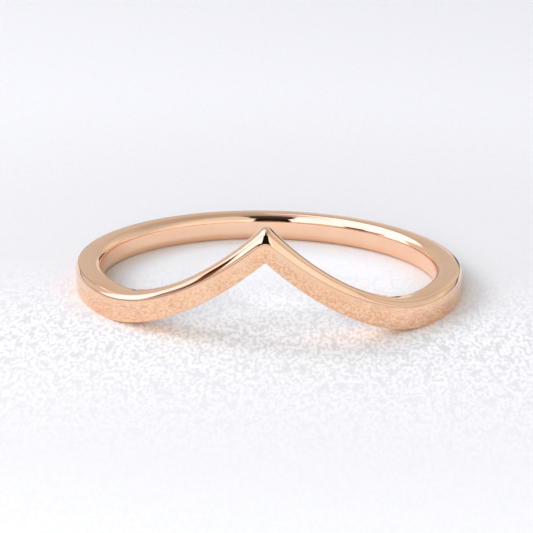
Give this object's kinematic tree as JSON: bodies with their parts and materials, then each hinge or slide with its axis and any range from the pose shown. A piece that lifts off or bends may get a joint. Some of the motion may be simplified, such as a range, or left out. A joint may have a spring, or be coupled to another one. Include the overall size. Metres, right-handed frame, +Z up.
{
  "type": "chevron ring",
  "caption": "Plain polished finger ring whose narrow band climbs at the front to a single V-shaped point; lies level on a surface.",
  "frame": {"origin": "on the axis of the finger hole, at the level of the surface that the ring lies on", "axes": "+Z up, along the axis of the finger hole; the point of the V stands over -Y; +X to the right as seen from the front"},
  "size_m": [0.0196, 0.0196, 0.0057],
  "materials": {
    "rose_gold": "high polish rose gold, with fine handling marks"
  },
  "bodies": {
    "root": {"band": "rose_gold"}
  },
  "joints": []
}
